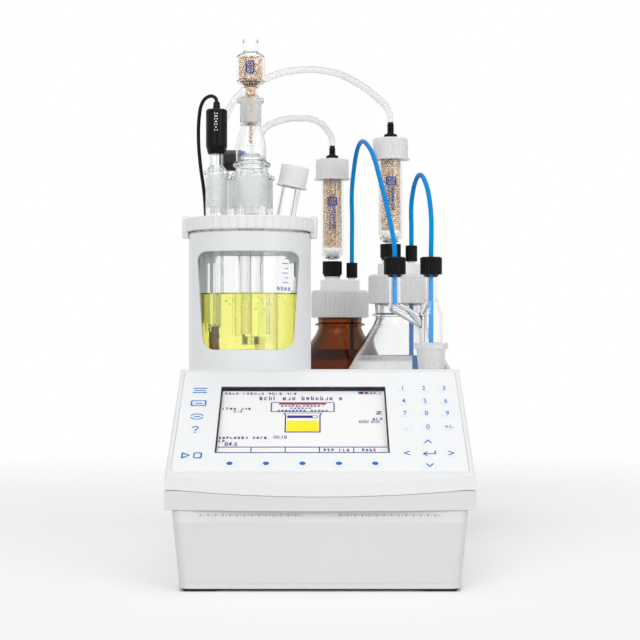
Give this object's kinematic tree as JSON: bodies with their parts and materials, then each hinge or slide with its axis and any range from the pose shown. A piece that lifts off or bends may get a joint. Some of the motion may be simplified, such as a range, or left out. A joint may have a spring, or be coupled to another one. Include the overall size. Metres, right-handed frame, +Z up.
{
  "type": "automatic titrator",
  "caption": "Bench coulometric titrator: sloped keypad console, glass titration cell with electrodes, amber and clear reagent bottles with drying tubes, blue hoses and exchange adapter.",
  "frame": {"origin": "centre of the bounding box, on the bench plane under the feet and bottles", "axes": "+X to the right of the user, +Y from the console's front to the bottles behind it, +Z up"},
  "size_m": [0.2262, 0.5014, 0.3981],
  "materials": {
    "case_grey": "fine satin moulded plastic",
    "case_white": "fine satin moulded plastic",
    "overlay": "satin membrane film with printed legends",
    "lens": "clear anti-glare window",
    "bezel": "matt black",
    "display": "backlit liquid crystal display",
    "circuit": "solder-masked circuit board",
    "rear_panel": "light grey powder coat",
    "nickel": "nickel-plated connectors",
    "black_plastic": "moulded black",
    "motor": "zinc-plated can",
    "rotor": "machined disc with two magnets",
    "nozzle": "moulded light grey",
    "feet": "soft black rubber",
    "screws": "zinc-plated",
    "holder": "white machined plastic",
    "glass_clear": "clear borosilicate glass",
    "stir_bar": "white fluoropolymer coat",
    "glass_ground": "clear glass with ground joints",
    "gasket": "off-white elastomer",
    "lock_ring": "white moulded plastic",
    "septum": "beige silicone",
    "cap_translucent": "translucent natural polypropylene",
    "black_gloss": "moulded black, blue collar",
    "platinum": "drawn platinum",
    "beads": "beige molecular sieve beads",
    "cable": "black cable jacket",
    "frosted": "ground glass",
    "glass_amber": "amber borosilicate glass",
    "insert": "white plastic",
    "dip_tube": "blue fluoropolymer tube",
    "blue_hose": "blue fluoropolymer hose",
    "air_hose": "clear vinyl hose"
  },
  "bodies": {
    "console": {"lower_housing": "case_grey", "upper_housing": "case_white", "keypad_overlay": "overlay", "display_lens": "lens", "display_bezel": "bezel", "display_module": "display", "key_board": "circuit", "main_board": "circuit", "rear_panel": "rear_panel", "rear_sockets": "nickel", "power_socket": "black_plastic", "switch_frame": "black_plastic", "stirrer_motor": "motor", "air_pump": "black_plastic", "air_nozzles": "nozzle", "feet": "feet", "case_screws": "screws", "cell_holder": "holder", "cell_vessel": "glass_clear", "cell_lid": "glass_ground", "lid_gasket": "gasket", "septum": "septum", "generator_glass": "glass_ground", "generator_plug": "black_gloss", "platinum_parts": "platinum", "detector_stem": "glass_ground", "detector_head": "black_gloss", "detector_cable": "cable", "detector_plug": "nickel", "adapter_glass": "glass_clear", "parking_socket": "frosted", "amber_bottle": "glass_amber", "amber_insert": "insert", "clear_bottle": "glass_clear", "clear_insert": "insert", "drier_glass": "glass_clear", "drier_caps": "cap_translucent", "drier_beads": "beads", "dip_tubes": "dip_tube", "amber_hose": "blue_hose", "clear_hose": "blue_hose", "amber_air_hose": "air_hose", "clear_air_hose": "air_hose"},
    "lock_ring": {"lock_ring": "lock_ring"},
    "septum_cap": {"septum_cap": "cap_translucent"},
    "front_stopper": {"front_stopper": "glass_ground"},
    "drying_tube": {"drying_tube": "glass_clear", "drying_beads": "beads"},
    "magnet_rotor": {"magnet_rotor": "rotor"},
    "stir_bar": {"stir_bar": "stir_bar"},
    "rocker": {"power_switch": "black_plastic"},
    "amber_ring": {"amber_screw_ring": "cap_translucent"},
    "clear_ring": {"clear_screw_ring": "cap_translucent"},
    "amber_drier_nut": {"amber_drier_nut": "black_plastic"},
    "clear_drier_nut": {"clear_drier_nut": "black_plastic"},
    "amber_hose_nut": {"amber_hose_nut": "black_plastic"},
    "clear_hose_nut": {"clear_hose_nut": "black_plastic"},
    "left_cap": {"adapter_cap_left": "black_plastic"},
    "right_cap": {"adapter_cap_right": "black_plastic"}
  },
  "joints": [
    {"name": "lock_ring_turn", "type": "hinge", "parent": "console", "child": "lock_ring", "pos_m": [-0.061, -0.06075, 0.2515], "axis": [0, 0, 1], "range_deg": [0, 40]},
    {"name": "septum_cap_turn", "type": "hinge", "parent": "console", "child": "septum_cap", "pos_m": [-0.034, -0.06075, 0.257], "axis": [0.1908, 0, 0.9816], "range_deg": [0, 360]},
    {"name": "front_stopper_lift", "type": "slide", "parent": "console", "child": "front_stopper", "axis": [0, 0, 1], "range_m": [0, 0.045]},
    {"name": "drying_tube_lift", "type": "slide", "parent": "console", "child": "drying_tube", "axis": [0, 0, 1], "range_m": [0, 0.06]},
    {"name": "rotor_spin", "type": "hinge", "parent": "console", "child": "magnet_rotor", "pos_m": [-0.061, -0.06075, 0.131], "axis": [0, 0, 1], "continuous": true},
    {"name": "stir_bar_spin", "type": "hinge", "parent": "console", "child": "stir_bar", "pos_m": [-0.061, -0.06075, 0.156], "axis": [0, 0, 1], "continuous": true},
    {"name": "rocker_tip", "type": "hinge", "parent": "console", "child": "rocker", "pos_m": [0.025, 0.05475, 0.1], "axis": [1, 0, 0], "range_deg": [-9, 9]},
    {"name": "amber_ring_turn", "type": "hinge", "parent": "console", "child": "amber_ring", "pos_m": [0.0117, 0.20325, 0.195], "axis": [0, 0, 1], "range_deg": [0, 360]},
    {"name": "clear_ring_turn", "type": "hinge", "parent": "console", "child": "clear_ring", "pos_m": [0.0626, 0.11925, 0.2067], "axis": [0, 0, 1], "range_deg": [0, 360]},
    {"name": "amber_drier_nut_turn", "type": "hinge", "parent": "console", "child": "amber_drier_nut", "pos_m": [0.0045, 0.20325, 0.228], "axis": [0, 0, 1], "range_deg": [0, 360]},
    {"name": "clear_drier_nut_turn", "type": "hinge", "parent": "console", "child": "clear_drier_nut", "pos_m": [0.0554, 0.11925, 0.2397], "axis": [0, 0, 1], "range_deg": [0, 360]},
    {"name": "amber_hose_nut_turn", "type": "hinge", "parent": "console", "child": "amber_hose_nut", "pos_m": [0.0229, 0.20325, 0.228], "axis": [0, 0, 1], "range_deg": [0, 360]},
    {"name": "clear_hose_nut_turn", "type": "hinge", "parent": "console", "child": "clear_hose_nut", "pos_m": [0.0738, 0.11925, 0.2397], "axis": [0, 0, 1], "range_deg": [0, 360]},
    {"name": "left_cap_turn", "type": "hinge", "parent": "console", "child": "left_cap", "pos_m": [0.0543, 0.01525, 0.225], "axis": [0, 0, 1], "range_deg": [0, 360]},
    {"name": "right_cap_turn", "type": "hinge", "parent": "console", "child": "right_cap", "pos_m": [0.084, 0.01525, 0.225], "axis": [0, 0, 1], "range_deg": [0, 360]}
  ],
  "couplings": [
    {"joint": "stir_bar_spin", "follows": "rotor_spin", "ratio": 1}
  ]
}
